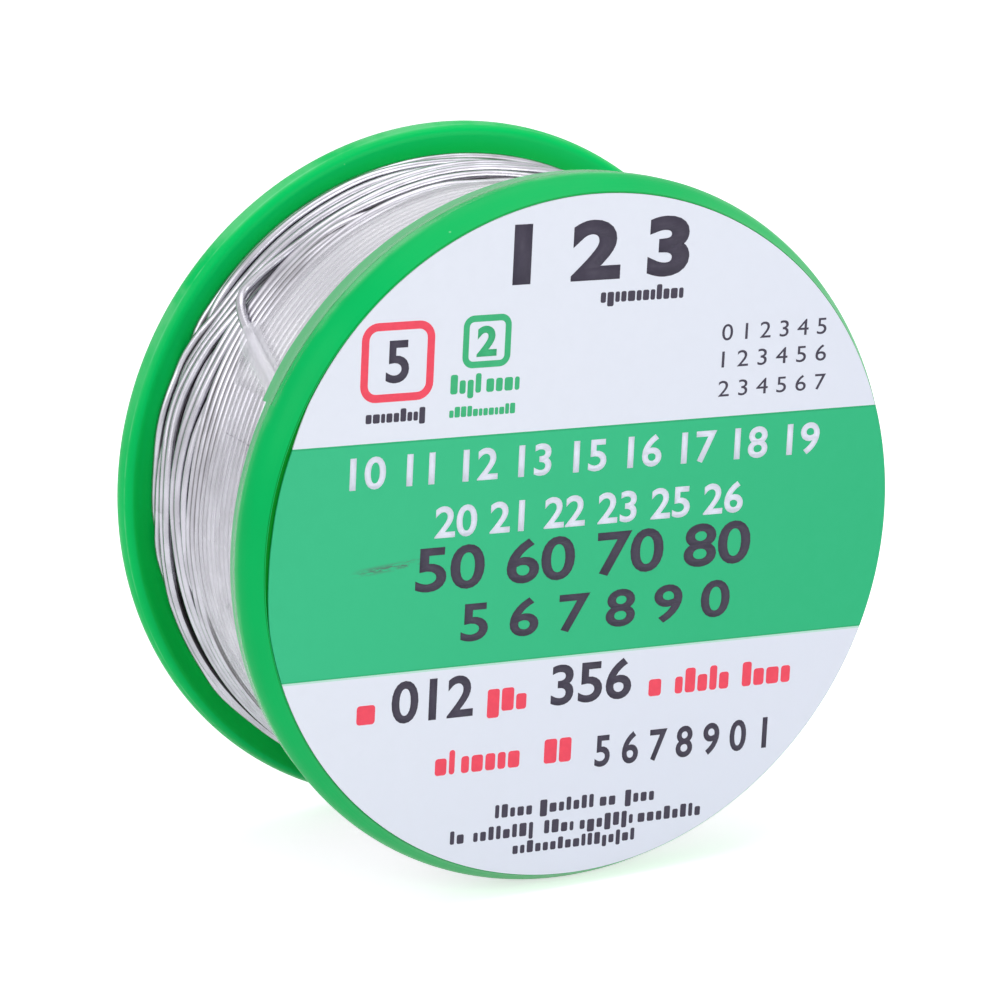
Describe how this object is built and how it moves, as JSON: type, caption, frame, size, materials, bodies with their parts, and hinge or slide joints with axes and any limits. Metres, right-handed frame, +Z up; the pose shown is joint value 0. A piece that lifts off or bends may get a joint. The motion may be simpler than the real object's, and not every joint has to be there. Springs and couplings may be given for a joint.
{
  "type": "solder wire spool",
  "caption": "Small two-part moulded spool wound with solder wire, with a taped-down loose end and a round paper label over the front flange.",
  "frame": {"origin": "on the floor, under the middle of the whole length, with the spool standing on its rims", "axes": "+Y along the spool's axis, from the labelled face to the rear; +Z up; +X to the right seen from the label"},
  "size_m": [0.05, 0.0242, 0.05],
  "materials": {
    "green_plastic": "smooth moulded, slightly glossy",
    "solder": "bright satin tin alloy",
    "clear_film": "clear, slightly hazy adhesive film",
    "label_paper": "smooth coated paper, satin"
  },
  "bodies": {
    "root": {"front_spool_half": "green_plastic", "rear_spool_half": "green_plastic", "solder_wire_buried_layers": "solder", "solder_wire_outer_turns": "solder", "holding_tape": "clear_film", "front_label": "label_paper"}
  },
  "joints": []
}
